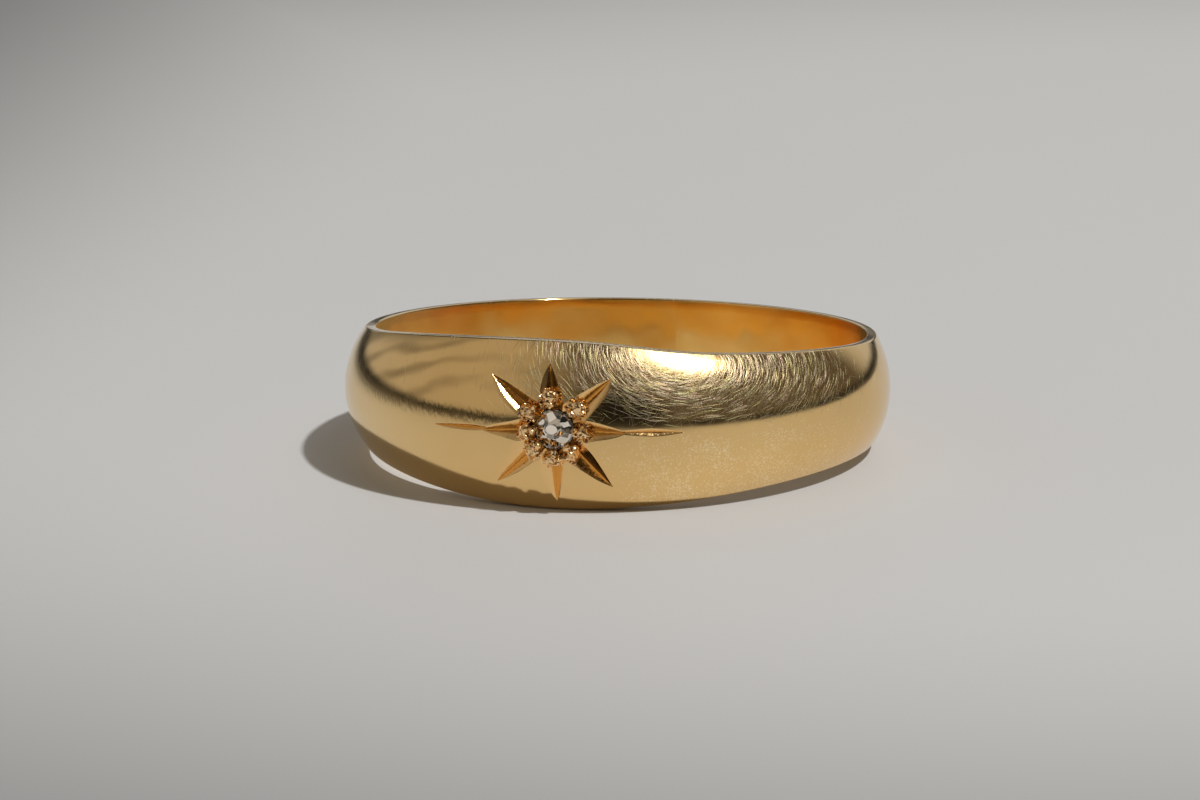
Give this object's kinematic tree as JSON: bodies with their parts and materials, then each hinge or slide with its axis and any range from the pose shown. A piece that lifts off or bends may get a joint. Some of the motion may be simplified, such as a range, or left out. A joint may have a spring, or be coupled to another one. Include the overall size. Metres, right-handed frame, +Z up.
{
  "type": "diamond band",
  "caption": "Tapering domed gold finger band with an old-cut diamond sunk flush in an engraved star, lying on its side.",
  "frame": {"origin": "on the surface that the ring lies on, under the middle of its bounding box", "axes": "+Z up from that surface and nearly along the finger hole, -Y from the finger hole towards the star, +X to the right of someone who looks at the star"},
  "size_m": [0.0202, 0.0206, 0.0061],
  "materials": {
    "yellow_gold": "polished 18 ct yellow gold, worn soft and finely scratched, with bright-cut rays",
    "diamond": "colourless old-cut stone with polished facets"
  },
  "bodies": {
    "root": {"band": "yellow_gold", "diamond": "diamond"}
  },
  "joints": []
}
